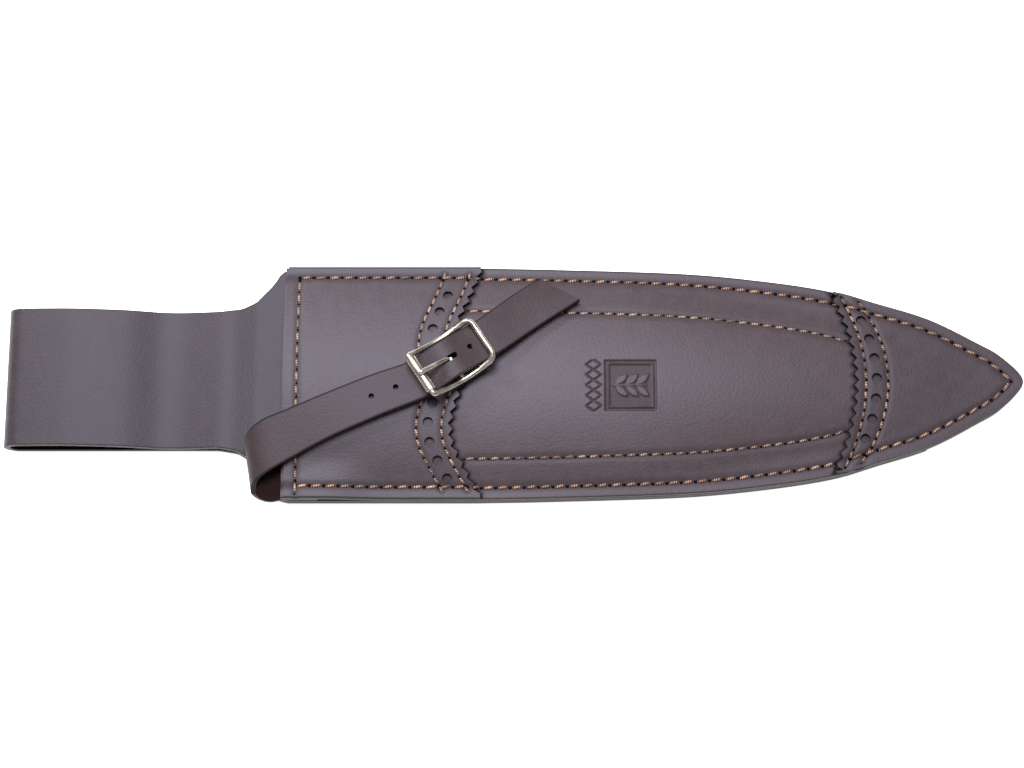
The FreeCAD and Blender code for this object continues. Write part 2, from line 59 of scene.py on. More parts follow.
# ---------------------------------------------------------------------------------------------
# Studio. A pale light table, a large soft light overhead and a dim white room. The camera looks down
# on the sheath's front from its lower edge.
mm = 0.001
scene = bpy.context.scene
scene.view_settings.view_transform = "Standard"
camera_tilt = math.radians(14.5)
camera_distance = 765.6 * mm
aim = Vector(((cad_box[0].x + cad_box[1].x) / 2 - 0.7 * mm, 1.13 * mm, 0))
camera_data = bpy.data.cameras.new("camera")
camera_data.lens = 86.1
camera_data.sensor_width = 36.0
camera = bpy.data.objects.new("camera", camera_data)
camera.location = aim + camera_distance * Vector((0, -math.sin(camera_tilt), math.cos(camera_tilt)))
camera.rotation_euler = (camera_tilt, 0, 0)
scene.collection.objects.link(camera)
scene.camera = camera

table_mesh = bmesh.new()
bmesh.ops.create_grid(table_mesh, x_segments=1, y_segments=1, size=3.0)
table_data = bpy.data.meshes.new("table_top")
table_mesh.to_mesh(table_data)
table_top = bpy.data.objects.new("table_top", table_data)
scene.collection.objects.link(table_top)
paper = bpy.data.materials.new("white_paper")
paper.use_nodes = True
paper_shader = paper.node_tree.nodes["Principled BSDF"]
paper_shader.inputs["Base Color"].default_value = (0.93, 0.93, 0.93, 1)
paper_shader.inputs["Roughness"].default_value = 0.9
paper_shader.inputs["Emission Color"].default_value = (1, 1, 1, 1)
paper_shader.inputs["Emission Strength"].default_value = 0.85
table_data.materials.append(paper)

room = bpy.data.worlds.new("room")
room.use_nodes = True
room.node_tree.nodes["Background"].inputs["Color"].default_value = (1, 1, 1, 1)
room.node_tree.nodes["Background"].inputs["Strength"].default_value = 0.30
scene.world = room


def softbox(name, place, size, power):
    """A square soft light that faces the sheath."""
    lamp = bpy.data.lights.new(name, "AREA")
    lamp.shape = "RECTANGLE"
    lamp.size, lamp.size_y = size
    lamp.energy = power
    holder = bpy.data.objects.new(name, lamp)
    holder.location = place
    holder.rotation_euler = (aim - Vector(place)).to_track_quat("-Z", "Y").to_euler()
    scene.collection.objects.link(holder)


softbox("overhead_softbox", (0.005, 0.165, 0.62), (0.27, 0.29), 5.1)
softbox("side_softbox", (-0.34, 0.42, 0.42), (0.16, 0.16), 3.6)


# ---------------------------------------------------------------------------------------------
# Folded backing. One long strip of 2 mm oiled leather: it is the back of the pocket, runs out
# past the mouth, folds over to make the belt loop and returns behind the whole sheath.
leather_thickness = 2.0 * mm
ply_gap = 0.1 * mm
glue_line = 0.05 * mm
body_length = 229.0 * mm
half_mouth = 37.0 * mm
hanger_length = 86.0 * mm
hanger_low = -20.45 * mm
hanger_high = 23.05 * mm
loop_gap = 5.0 * mm
neck_gap = 1.6 * mm
tail_end = body_length - 20 * mm
seam_inset = 3.6 * mm
backing_top = 2 * leather_thickness + ply_gap
random.seed(7)


def curve_through(points, step):
    """Evenly spaced points along a smooth curve through the given ones."""
    points = [Vector(p) for p in points]
    ends = [2 * points[0] - points[1]] + points + [2 * points[-1] - points[-2]]
    fine = []
    for a, b, c, d in zip(ends, ends[1:], ends[2:], ends[3:]):
        pieces = max(4, int((c - b).length / step) * 3)
        for i in range(pieces):
            t = i / pieces
            fine.append(0.5 * (2 * b + (c - a) * t + (2 * a - 5 * b + 4 * c - d) * t * t
                               + (3 * b - a - 3 * c + d) * t * t * t))
    fine.append(points[-1])
    return even_steps(fine, step)


def even_steps(line, step):
    """The same line with points at an even pitch near the given step."""
    lengths = [0.0]
    for a, b in zip(line, line[1:]):
        lengths.append(lengths[-1] + (b - a).length)
    count = max(1, round(lengths[-1] / step))
    spaced, k = [], 0
    for i in range(count + 1):
        goal = lengths[-1] * i / count
        while k < len(lengths) - 2 and lengths[k + 1] < goal:
            k += 1
        share = (goal - lengths[k]) / max(1e-12, lengths[k + 1] - lengths[k])
        spaced.append(line[k].lerp(line[k + 1], min(1.0, share)))
    return spaced


taper = [(0.262, 1.0), (0.37, 0.987), (0.541, 0.951), (0.655, 0.883), (0.742, 0.796), (0.803, 0.683),
         (0.875, 0.539), (0.939, 0.335), (0.973, 0.205)]
upper_edge = [(x * body_length, y * half_mouth, 0) for x, y in taper]
lower_edge = [(x, -y, 0) for x, y, z in reversed(upper_edge)]
edge_line = curve_through(upper_edge + [(body_length, 0, 0)] + lower_edge, 0.25 * mm)
upper_half = [p for p in edge_line if p.y >= 0]


def edge_run(before):
    """The two neighbouring points of the upper edge between which before(point) turns false."""
    low, high = 0, len(upper_half) - 1
    while high - low > 1:
        half_way = (low + high) // 2
        if before(upper_half[half_way]):
            low = half_way
        else:
            high = half_way
    return upper_half[low], upper_half[high]


def half_width(x):
    """Half the body's width at x."""
    if x <= upper_half[0].x:
        return half_mouth
    if x >= body_length:
        return 0.0
    a, b = edge_run(lambda p: p.x <= x)
    return a.y + (b.y - a.y) * (x - a.x) / max(1e-9, b.x - a.x)


def inset_line(inset, step):
    """The body's edge moved inwards, from the upper side of the mouth round the toe to the lower side."""
    line = [Vector((0, half_mouth - inset, 0)), Vector((0.2 * body_length, half_mouth - inset, 0))]
    for a, b in zip(edge_line[::8], edge_line[8::8]):
        ahead = (b - a).normalized()
        line.append((a + b) / 2 + inset * Vector((ahead.y, -ahead.x, 0)))
    line += [Vector((0.2 * body_length, inset - half_mouth, 0)), Vector((0, inset - half_mouth, 0))]
    return even_steps(line, step)


def nearest(points):
    """A search tree over plan points."""
    tree = kdtree.KDTree(len(points))
    for i, p in enumerate(points):
        tree.insert(Vector((p.x, p.y, 0)), i)
    tree.balance()
    return tree


def laid_sheet(columns, rows, place):
    """A piece of leather: an even grid laid by place(u, v), with its doubles merged."""
    piece = bmesh.new()
    piece.loops.layers.uv.new("UVMap")
    bmesh.ops.create_grid(piece, x_segments=columns, y_segments=rows, size=1.0, calc_uvs=True)
    for v in piece.verts:
        v.co = place((v.co.x + 1) / 2, (v.co.y + 1) / 2)
    bmesh.ops.remove_doubles(piece, verts=piece.verts, dist=1e-7)
    return piece


def finished(name, piece, materials, body, slot, *nodes):
    """Turns the mesh into a piece of the object that stands for its CAD nodes."""
    for face in piece.faces:
        face.smooth = True
    holder = held(name, piece)
    for material in materials:
        holder.data.materials.append(material)
    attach(holder, body)
    if nodes:
        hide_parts(*nodes)
    return holder


def thickened(holder, thickness, offset=-1):
    """Gives a sheet its thickness, with a flesh side and a dyed rim."""
    solid = holder.modifiers.new("thickness", "SOLIDIFY")
    solid.thickness = thickness
    solid.offset = offset
    solid.material_offset = 1
    solid.material_offset_rim = 2


def rounded(holder, round_over, segments=3):
    """Rounds a piece's sharp edges."""
    edge = holder.modifiers.new("rounded_edge", "BEVEL")
    edge.width = round_over
    edge.segments = segments
    edge.limit_method = "ANGLE"
    edge.angle_limit = math.radians(50)
    edge.material = -1


def held(name, piece):
    """Puts a finished mesh into an object of the scene."""
    data = bpy.data.meshes.new(name)
    piece.to_mesh(data)
    piece.free()
    holder = bpy.data.objects.new(name, data)
    scene.collection.objects.link(holder)
    return holder


def cut_with(holder, tools):
    """Cuts the tools out of a piece, after its thickness, and makes the result its mesh."""
    for tool in tools:
        cut = holder.modifiers.new("holes", "BOOLEAN")
        cut.operation = "DIFFERENCE"
        cut.solver = "EXACT"
        cut.object = tool
    made = bpy.data.meshes.new_from_object(holder.evaluated_get(bpy.context.evaluated_depsgraph_get()))
    holder.modifiers.clear()
    holder.data = made
    for tool in tools:
        bpy.data.objects.remove(tool)
    made.set_sharp_from_angle(angle=math.radians(40))


def new_material(name):
    """A material with its node tree and its shader."""
    material = bpy.data.materials.new(name)
    material.use_nodes = True
    return material, material.node_tree, material.node_tree.nodes["Principled BSDF"]


def new_group(name, inputs, outputs):
    group = bpy.data.node_groups.new(name, "ShaderNodeTree")
    for label, kind, value in inputs:
        socket = group.interface.new_socket(name=label, in_out="INPUT", socket_type=kind)
        socket.default_value = value
    for label, kind in outputs:
        group.interface.new_socket(name=label, in_out="OUTPUT", socket_type=kind)
    return group, group.nodes.new("NodeGroupInput"), group.nodes.new("NodeGroupOutput")


def give(tree, made, values):
    """Links a node's inputs to sockets, or sets them to values."""
    for key, value in values.items():
        if isinstance(value, bpy.types.NodeSocket):
            tree.links.new(value, made.inputs[key])
        else:
            made.inputs[key].default_value = value


def node(tree, kind, values=None, **settings):
    """A node with its settings and its inputs."""
    made = tree.nodes.new(kind)
    for key, value in settings.items():
        setattr(made, key, value)
    give(tree, made, values or {})
    return made


def own_place(tree):
    return node(tree, "ShaderNodeTexCoord").outputs["Object"]


def attribute(tree, name):
    return node(tree, "ShaderNodeAttribute", attribute_name=name).outputs["Fac"]


def noise(tree, place, scale, detail, roughness=0.5):
    return node(tree, "ShaderNodeTexNoise", {"Vector": place, "Scale": scale, "Detail": detail,
                                             "Roughness": roughness}).outputs["Fac"]


def ranged(tree, value, low, high, to_low, to_high):
    return node(tree, "ShaderNodeMapRange", {"Value": value, "From Min": low, "From Max": high,
                                             "To Min": to_low, "To Max": to_high}).outputs["Result"]


def scaled(tree, value, factor, plus=0.0, clamp=False):
    """A value times a factor, plus another value."""
    return node(tree, "ShaderNodeMath", {0: value, 1: factor, 2: plus}, operation="MULTIPLY_ADD",
                use_clamp=clamp).outputs[0]


def shaded(tree, value, low, high, dark, light):
    """A colour that runs from dark at the low value to light at the high one."""
    ramp = node(tree, "ShaderNodeValToRGB", {"Fac": value})
    for element, position, colour in zip(ramp.color_ramp.elements, (low, high), (dark, light)):
        element.position = position
        element.color = (*colour, 1)
    return ramp.outputs["Color"]


def bumped(tree, height, strength, distance):
    return node(tree, "ShaderNodeBump", {"Height": height, "Strength": strength,
                                         "Distance": distance}).outputs["Normal"]


def oiled_grain():
    """Full-grain leather: pebbled pores, drawn creases, cloudy dye, and darker, duller colour where Edge is
    high: burnished edges, pressed rows and marks, and painted shade beside the pinked teeth.
    """
    group, given, result = new_group(
        "oiled_grain",
        [("Dye", "NodeSocketColor", (0.045, 0.027, 0.025, 1)),
         ("Deep Dye", "NodeSocketColor", (0.03, 0.017, 0.016, 1)), ("Edge", "NodeSocketFloat", 0.0)],
        [("Color", "NodeSocketColor"), ("Roughness", "NodeSocketFloat"), ("Height", "NodeSocketFloat")])
    place = own_place(group)
    edge = given.outputs["Edge"]
    cloud = noise(group, place, 22.0, 3.0)
    mottle = noise(group, place, 260.0, 4.0, 0.6)
    pores = noise(group, place, 3200.0, 2.0)
    pebble = node(group, "ShaderNodeTexVoronoi", {"Vector": place, "Scale": 1500.0, "Randomness": 1.0},
                  feature="SMOOTH_F1").outputs["Distance"]
    stretch = node(group, "ShaderNodeMapping", {"Vector": place, "Scale": (1.0, 5.0, 1.0),
                                                "Rotation": (0, 0, 0.5)})
    crease = noise(group, stretch.outputs["Vector"], 90.0, 6.0, 0.7)
    dyed = node(group, "ShaderNodeMix", {0: ranged(group, cloud, 0.3, 0.72, 0.55, 1.0),
                                         6: given.outputs["Deep Dye"], 7: given.outputs["Dye"]},
                data_type="RGBA")
    speck = ranged(group, mottle, 0.35, 0.65, 0.86, 1.1)
    pore = ranged(group, pebble, 0.0, 0.5, 1.05, 0.86)
    # Edge darkens the colour: burnished edges and pressed rows, plus painted shade beside the pinked teeth
    total = scaled(group, scaled(group, speck, pore), scaled(group, edge, -0.45, 1.0))
    tinted = node(group, "ShaderNodeVectorMath", {0: dyed.outputs[2], 3: total}, operation="SCALE")
    rough = ranged(group, mottle, 0.3, 0.7, 0.505, 0.555)
    fine = scaled(group, pores, 0.35, scaled(group, pebble, -0.9))
    give(group, result, {"Color": tinted.outputs[0], "Roughness": scaled(group, edge, 0.3, rough, True),
                         "Height": scaled(group, crease, 0.3, fine)})
    return group


grain_group = oiled_grain()


def grain_leather(name, dye, deep_dye, rim=0.985, gloss=0.6):
    """The oiled outer side of a piece, darker where its edges are burnished, where it is pressed in, and where
    painted shade lies beside the pinked teeth.
    """
    material, tree, shader = new_material(name)
    across = node(tree, "ShaderNodeSeparateXYZ", {0: node(tree, "ShaderNodeUVMap", uv_map="UVMap").outputs[0]})
    centred = scaled(tree, across.outputs["Y"], 2.0, -1.0)
    distance = node(tree, "ShaderNodeMath", {0: centred}, operation="ABSOLUTE").outputs[0]
    # the pressed attribute also holds painted shade beside the front panel's pinked teeth
    worn_pressed_and_shaded = node(tree, "ShaderNodeMath", {0: ranged(tree, distance, rim, 1.0, 0.0, 1.6),
                                         1: scaled(tree, attribute(tree, "pressed"), 1.1)}, operation="MAXIMUM")
    leather = node(tree, "ShaderNodeGroup", node_tree=grain_group)
    give(tree, leather, {"Dye": (*dye, 1), "Deep Dye": (*deep_dye, 1), "Edge": worn_pressed_and_shaded.outputs[0]})
    give(tree, shader, {"Base Color": leather.outputs["Color"], "Roughness": leather.outputs["Roughness"],
                        "Normal": bumped(tree, leather.outputs["Height"], 0.42, 0.00013),
                        "Specular IOR Level": gloss, "Specular Tint": (0.74, 0.76, 0.97, 1),
                        "Sheen Weight": 0.06, "Sheen Roughness": 0.5, "Sheen Tint": (0.75, 0.85, 1.0, 1)})
    return material


def fibre_leather(name, colour, fuzz, scale, roughness, gloss=0.5):
    """Flesh side or cut edge: matted fibres, or the dyed and burnished rim of a cut."""
    material, tree, shader = new_material(name)
    place = own_place(tree)
    mat = noise(tree, place, scale, 8.0, 0.75)
    tone = scaled(tree, mat, 1.0, noise(tree, place, scale * 0.12, 3.0))
    give(tree, shader, {"Base Color": shaded(tree, tone, 0.75, 1.0, [c * 0.6 for c in colour],
                                             [min(1.0, c * 1.35) for c in colour]),
                        "Normal": bumped(tree, mat, fuzz, 0.0003),
                        "Roughness": roughness, "Specular IOR Level": gloss})
    return material


backing_leather = grain_leather("backing_leather", (0.040, 0.028, 0.030), (0.034, 0.023, 0.024), gloss=0.40)
flesh_side = fibre_leather("flesh_side", (0.014, 0.0058, 0.0058), 0.6, 900.0, 0.9, 0.1)
dyed_edge = fibre_leather("dyed_edge", (0.026, 0.018, 0.020), 0.35, 1400.0, 0.5, 0.25)

middle = 1.5 * leather_thickness + ply_gap
lift = middle + loop_gap
fold_radius = (lift - leather_thickness / 2) / 2
fold_x = fold_radius + leather_thickness / 2 - hanger_length
fold_z = leather_thickness / 2 + fold_radius
loop_points = [(body_length, middle), (0.5 * body_length, middle), (0.05 * body_length, middle),
               (-7 * mm, middle), (-11 * mm, middle + 0.3 * neck_gap), (-18 * mm, middle + neck_gap),
               (-25 * mm, middle + 0.5 * neck_gap), (-32 * mm, middle), (-39 * mm, middle + 0.1 * loop_gap),
               (-50 * mm, middle + 0.68 * loop_gap), (-64 * mm, lift + 0.2 * mm),
                (fold_x + 8 * mm, lift + 0.35 * mm)]
for turn in range(0, 181, 15):
    around = math.radians(90 + turn)
    loop_points.append((fold_x + fold_radius * math.cos(around), fold_z + fold_radius * math.sin(around)))
loop_points += [(fold_x + 12 * mm, leather_thickness / 2), (0, leather_thickness / 2),
                (0.5 * body_length, leather_thickness / 2), (tail_end, leather_thickness / 2)]
strip = curve_through([(x, 0, z) for x, z in loop_points], 1.4 * mm)
strip_out = []
for i, p in enumerate(strip):
    ahead = (strip[min(i + 1, len(strip) - 1)] - strip[max(i - 1, 0)]).normalized()
    strip_out.append(Vector((ahead.z, 0, -ahead.x)))
seam_tree = nearest(inset_line(seam_inset, 0.5 * mm))


def shoulder(x, side):
    """The outline beside the neck: the belt loop's edge flares out in a hollow curve to the body's."""
    loop_edge = hanger_high if side > 0 else -hanger_low
    if x >= 1.5 * mm:
        return half_width(x)
    steps = [(-20, 0.0), (-14, 0.06), (-9.4, 0.24), (-4.1, 0.64), (-1.4, 0.95), (1.5, 1.0)]
    if x <= steps[0][0] * mm:
        return loop_edge
    for (xa, sa), (xb, sb) in zip(steps, steps[1:]):
        if x <= xb * mm:
            share = (x - xa * mm) / ((xb - xa) * mm)
            return loop_edge + (half_mouth - loop_edge) * (sa + (sb - sa) * share)
    return half_width(x)


def lay_backing(u, v):
    i = min(len(strip) - 1, round(u * (len(strip) - 1)))
    p, out = strip[i], strip_out[i]
    returning = u > 0.5
    high, low = shoulder(p.x, 1), shoulder(p.x, -1)
    corner = 9 * mm
    if returning and p.x > tail_end - corner:
        reach = half_width(tail_end) + 1 * mm
        rounded = reach - corner + math.sqrt(max(0.0, corner ** 2 - (p.x - tail_end + corner) ** 2))
        high, low = min(high, rounded), min(low, rounded)
    y = high - v * (high + low)
    co = p + out * leather_thickness / 2
    co.y = y
    if returning and p.x > seam_inset:
        distance = seam_tree.find(Vector((p.x, y, 0)))[2]
        co -= out * 0.5 * mm * math.exp(-(distance / (0.75 * mm)) ** 2)
    return co


backing_mesh = laid_sheet(len(strip) - 1, 60, lay_backing)
folded_backing = finished("folded_backing_leather", backing_mesh, (backing_leather, flesh_side, dyed_edge),
                          "root", "backing_leather", "folded_backing")
thickened(folded_backing, leather_thickness)
rounded(folded_backing, 0.35 * mm)


# ---------------------------------------------------------------------------------------------
# Front panel. A full-length piece of the same leather, moulded over the blade so that it stands
# up in the middle. Two long rows of stitches run down it and a small mark is pressed into it.
pocket_gap = 5.2 * mm
root_bump = 2.1 * mm
strap_width = 12.4 * mm
strap_root_depth = 11.0 * mm
border_insets = (14.8 * mm, 12.3 * mm)


def gap_shape(x, y):
    """Height of the pocket under the front panel, before it is smoothed."""
    along = max(0.0, min(1.0, (0.93 * body_length - x) / (0.45 * body_length)))
    narrow = min(1.0, 0.4 + 0.6 * along)
    across = max(0.0, 1 - (y / ((half_mouth - seam_inset) * narrow)) ** 2)
    height = pocket_gap * math.sin(along * math.pi / 2) * across
    beside_root = max(0.0, min(1.0, (strap_root_depth + 12 * mm - x) / (6 * mm)))
    if y < strap_width - half_mouth + 3 * mm:
        height = max(height, root_bump * beside_root)
    return height


def clamped_knots(count):
    spans = count - 3
    return [0.0] * 3 + [i / spans for i in range(spans + 1)] + [1.0] * 3


def spline_weights(t, knots, count):
    """Where a clamped cubic spline's four poles at t start, and their weights."""
    t = min(max(t, 0.0), 1.0 - 1e-9)
    k = 3 + int(t * (count - 3))
    weights = [1.0]
    for degree in (1, 2, 3):
        spread = [0.0] * (degree + 1)
        for i, w in enumerate(weights):
            left, right = knots[k - degree + 1 + i], knots[k + 1 + i]
            share = (t - left) / (right - left)
            spread[i] += w * (1 - share)
            spread[i + 1] += w * share
        weights = spread
    return k - 3, weights


sheet_x = (-4 * mm, body_length + 4 * mm)
sheet_y = (-half_mouth - 4 * mm, half_mouth + 4 * mm)
knots_x, knots_y = clamped_knots(26), clamped_knots(24)
pole_x = [sheet_x[0] + sum(knots_x[i + 1:i + 4]) / 3 * (sheet_x[1] - sheet_x[0]) for i in range(26)]
pole_y = [sheet_y[0] + sum(knots_y[i + 1:i + 4]) / 3 * (sheet_y[1] - sheet_y[0]) for i in range(24)]
poles = [[gap_shape(x, y) for y in pole_y] for x in pole_x]


def crown(x, y):
    """Height of the pocket under the moulded front panel: a smooth cubic surface."""
    i, along = spline_weights((x - sheet_x[0]) / (sheet_x[1] - sheet_x[0]), knots_x, 26)
    j, across = spline_weights((y - sheet_y[0]) / (sheet_y[1] - sheet_y[0]), knots_y, 24)
    return sum(a * b * poles[i + m][j + n] for m, a in enumerate(along) for n, b in enumerate(across))


def front_top(x, y):
    return backing_top + glue_line + crown(x, y) + leather_thickness


def pressed(tree, x, y, depth, width):
    """How far a row of tight stitches pulls the leather in; given a depth of 1, it also weights the painted
    shade beside the pinked teeth.
    """
    distance = tree.find(Vector((x, y, 0)))[2]
    return depth * math.exp(-(distance / width) ** 2)


def seam_dip(x, y):
    return pressed(seam_tree, x, y, 0.35 * mm, 1.1 * mm)


def border_row(side):
    """One of the two long rows between the overlays."""
    inset = border_insets[0] if side > 0 else border_insets[1]
    line = [p for p in inset_line(inset, 0.5 * mm) if p.y * side > 0]
    y_start = side * (half_mouth - inset)
    first = mouth_band_x(y_start) + 8.2 * mm
    last = toe_arc_x(0.6 * y_start, "pinked") - 1.4 * mm
    line = [p for p in line if first < p.x < last]
    return line if side > 0 else line[::-1]


mouth_band_points = [(54.3, 37.0), (51.0, 27.4), (47.9, 20.4), (46.0, 14.4), (45.8, 8.9), (49.0, -0.7),
                     (46.4, -8.1), (45.0, -14.1), (45.5, -20.0), (47.9, -25.5), (54.3, -37.0)]
band_upper = curve_through([(x * mm, y * mm, 0) for x, y in mouth_band_points[:6]], 0.25 * mm)
band_lower = curve_through([(x * mm, y * mm, 0) for x, y in mouth_band_points[5:]], 0.25 * mm)
band_line = band_upper + band_lower[1:]


def mouth_band_x(y):
    """The middle of the mouth's punched band at y."""
    return min(band_line, key=lambda p: abs(p.y - y)).x


toe_arcs = {"holes": (45.6 * mm, 46.9 * mm), "left": (48.9 * mm, 58.5 * mm), "right": (42.0 * mm, 43.6 * mm),
            "pinked": (51.8 * mm, 61.1 * mm)}


def toe_arc(name):
    """Centre and radius of one of the toe's arcs."""
    crest_back, radius = toe_arcs[name]
    return Vector((body_length - crest_back - radius, 0.5 * mm, 0)), radius


def toe_arc_x(y, name):
    centre, radius = toe_arc(name)
    return centre.x + math.sqrt(max(0.0, radius ** 2 - (y - centre.y) ** 2))


stamp_low = Vector((99.2 * mm, -10.3 * mm))
stamp_side = 16.4 * mm
stamp_depth = 0.5 * mm


def stamp(x, y):
    """Depth of the pressed mark: a sprig raised in a sunken square, and a column of lozenges beside it."""
    s, t = (x - stamp_low.x) / stamp_side, (y - stamp_low.y) / stamp_side
    depth = 0.0
    if 0 < s < 1 and 0 < t < 1:
        rim = 0.5 - max(abs(s - 0.5), abs(t - 0.5))
        depth = min(1.0, rim / 0.03)
        raised = [0.0, 1 - abs(rim - 0.085) / 0.03, 1 - abs(t - 0.5) / 0.045 if 0.16 < s < 0.80 else 0.0]
        for leaf_s in (0.20, 0.40, 0.60):
            for tilt in (1, -1):
                turn = math.radians(42) * tilt
                ds, dt = s - leaf_s, t - 0.5
                along = ds * math.cos(turn) + dt * math.sin(turn)
                across = dt * math.cos(turn) - ds * math.sin(turn)
                leaf = 1 - ((along - 0.17) / 0.17) ** 2
                if leaf > 0:
                    raised.append((0.085 * leaf - abs(across)) / 0.03)
                    raised.append(0.0)
        depth *= 1 - 0.9 * max(0.0, min(1.0, max(raised)))
    column = (x - (stamp_low.x - 3.2 * mm)) / (2.3 * mm)
    step = (t * 5) % 1 - 0.5
    if 0 < t < 1 and abs(column) < 1.1:
        ring = abs(0.62 - abs(column) * 0.62 - abs(step) * 1.2)
        depth = max(depth, 1 - ring / 0.17 if abs(column) + abs(step) * 2 < 1.3 else 0.0)
    return stamp_depth * max(0.0, min(1.0, depth))


def shifted(line, offset):
    return [p + Vector((offset, 0, 0)) for p in line]


def joined_steps(lines, step):
    """Even steps along each line, joined end to end."""
    whole = []
    for line in lines:
        whole += even_steps(line, step)[1 if whole else 0:]
    return whole


def toe_line(name, step):
    """One of the toe's arcs, from the body's upper edge to its lower edge."""
    centre, radius = toe_arc(name)
    line = []
    for i in range(481):
        a = math.radians(60 - i / 4)
        p = centre + radius * Vector((math.cos(a), math.sin(a), 0))
        if abs(p.y) <= half_width(p.x) - 0.4 * mm:
            line.append(p)
    return even_steps(line, step)


def toothed(line):
    """A zigzag of pinking teeth on a line of points at half the tooth pitch."""
    last = len(line) - 1
    depths = [0 if i in (0, last) else tooth_depth / 2 * (1 if i % 2 else -1) for i in range(last + 1)]
    return [p + Vector((depth, 0, 0)) for p, depth in zip(line, depths)]


tooth_pitch = 3.6 * mm
tooth_depth = 1.4 * mm
band_pinked = 6.8 * mm
mouth_teeth = joined_steps([shifted(band_upper, band_pinked), shifted(band_lower, band_pinked)],
                           tooth_pitch / 2)
mouth_teeth = toothed(mouth_teeth)
toe_teeth = toe_line("pinked", tooth_pitch / 2)
toe_teeth_cut = toothed(toe_teeth)
zigzags = []
for zigzag in (mouth_teeth, toe_teeth_cut):
    for a, b in zip(zigzag, zigzag[1:]):
        zigzags += [a.lerp(b, k / 8) for k in range(8)]
zigzag_tree = nearest(zigzags)
border_lines = [border_row(1), border_row(-1)]
border_tree = nearest(border_lines[0] + border_lines[1])
mouth_row = even_steps([Vector((seam_inset + 0.9 * mm, half_mouth - seam_inset - 0.9 * mm, 0)),
                        Vector((seam_inset + 0.9 * mm, 0.9 * mm - half_mouth, 0))], 0.5 * mm)


def lay_front(u, v):
    straight = 0.93
    if u < straight:
        x = body_length * straight * u / straight
    else:
        x = body_length * (straight + (1 - straight) * math.sin((u - straight) / (1 - straight) * math.pi / 2))
    return Vector((x, (2 * v - 1) * half_width(x), 0))


front_mesh = laid_sheet(250, 92, lay_front)
reach = 1.0 * mm
stamped = [e for e in front_mesh.edges
           if all(stamp_low.x - 6 * mm < v.co.x < stamp_low.x + stamp_side + reach
                  and stamp_low.y - reach < v.co.y < stamp_low.y + stamp_side + reach for v in e.verts)]
bmesh.ops.subdivide_edges(front_mesh, edges=stamped, cuts=3, use_grid_fill=True)
front_press_and_shade = front_mesh.verts.layers.float.new("pressed")
for v in front_mesh.verts:
    x, y = v.co.x, v.co.y
    dip = seam_dip(x, y) if x < body_length - 3 * mm else 0
    dip += pressed(border_tree, x, y, 0.30 * mm, 0.9 * mm)
    # painted shade: beside the pinked teeth of both overlays the front panel is darkened and dulled through its
    # pressed attribute, standing in for the shadow of the overlay's edge
    shade = pressed(zigzag_tree, x, y, 1.0, 0.75 * mm)
    v[front_press_and_shade] = min(1.9, dip / (0.45 * mm) + stamp(x, y) / (1.1 * mm) + 2.0 * shade)
    v.co.z = front_top(x, y) - dip - stamp(x, y)
front_leather = grain_leather("front_leather", (0.056, 0.034, 0.035), (0.043, 0.025, 0.025))
front_panel = finished("front_panel_leather", front_mesh, (front_leather, flesh_side, dyed_edge), "root",
                       "front_leather", "front_panel")
thickened(front_panel, leather_thickness - 0.2 * mm)
rounded(front_panel, 0.35 * mm)


# ---------------------------------------------------------------------------------------------
# Mouth overlay. A second, thinner layer over the mouth end. Its free edge is cut with pinking
# teeth in two lobes, and a row of round holes is punched along it between two rows of stitches.
overlay_thickness = 1.5 * mm
overlay_setback = 0.9 * mm
brogue_radius = 1.6 * mm
brogue_pitch = 6.1 * mm
hole_room = seam_inset + 2.05 * mm
band_left, band_right = -3.6 * mm, 4.2 * mm


def overlay_top(x, y):
    return front_top(x, y) + glue_line + overlay_thickness


def press_overlay(mesh, row_tree):
    """Lays an overlay on the front panel, pulled in along the seam and its own rows."""
    press = mesh.verts.layers.float.new("pressed")
    for v in mesh.verts:
        x, y = v.co.x, v.co.y
        dip = seam_dip(x, y) + pressed(row_tree, x, y, 0.32 * mm, 0.8 * mm)
        v[press] = min(1.0, dip / (0.5 * mm))
        v.co.z = overlay_top(x, y) - dip


def inside_seam(line, margin):
    return [p for p in line if abs(p.y) < half_width(p.x) - margin]


band_row_left = joined_steps([shifted(band_upper, band_left), shifted(band_lower, band_left)], 0.5 * mm)
band_row_right = joined_steps([shifted(band_upper, band_right), shifted(band_lower, band_right)], 0.5 * mm)
mouth_tree = nearest(inside_seam(band_row_left, 2 * mm) + inside_seam(band_row_right, 2 * mm) + mouth_row)
per_tooth = 3
mouth_rows = (len(mouth_teeth) - 1) * per_tooth


def lay_mouth(u, v):
    k = (1 - v) * mouth_rows / per_tooth
    i = min(len(mouth_teeth) - 2, int(k + 1e-6))
    edge = mouth_teeth[i].lerp(mouth_teeth[i + 1], k - i)
    smooth_x = mouth_band_x(edge.y) + band_pinked
    near = max(0.0, (u - 0.94) / 0.06)
    x = overlay_setback + (smooth_x - overlay_setback) * u + (edge.x - smooth_x) * near
    return Vector((x, max(-half_mouth, min(half_mouth, edge.y)), 0))


def punched(holder, centres, radius, thickness):
    """Gives an overlay its thickness and punches its round holes, whose walls are dyed."""
    thickened(holder, thickness)
    punch = bmesh.new()
    for p in centres:
        bmesh.ops.create_cone(punch, cap_ends=True, segments=28, radius1=radius, radius2=radius, depth=30 * mm,
                              matrix=Matrix.Translation((p.x, p.y, 10 * mm)))
    for face in punch.faces:
        face.material_index = 2
    tool = held("punch", punch)
    for material in holder.data.materials:
        tool.data.materials.append(material)
    cut_with(holder, [tool])
    rounded(holder, 0.25 * mm, 2)


def stepped(line, start, pitch):
    """Points at an exact pitch along a line, from a distance past its start to near its end."""
    fine = even_steps(line, 0.05 * mm)
    step = (fine[1] - fine[0]).length
    return [fine[round(d * pitch / step + start / step)] for d in range(9)
            if start + d * pitch < step * len(fine) - pitch / 2]


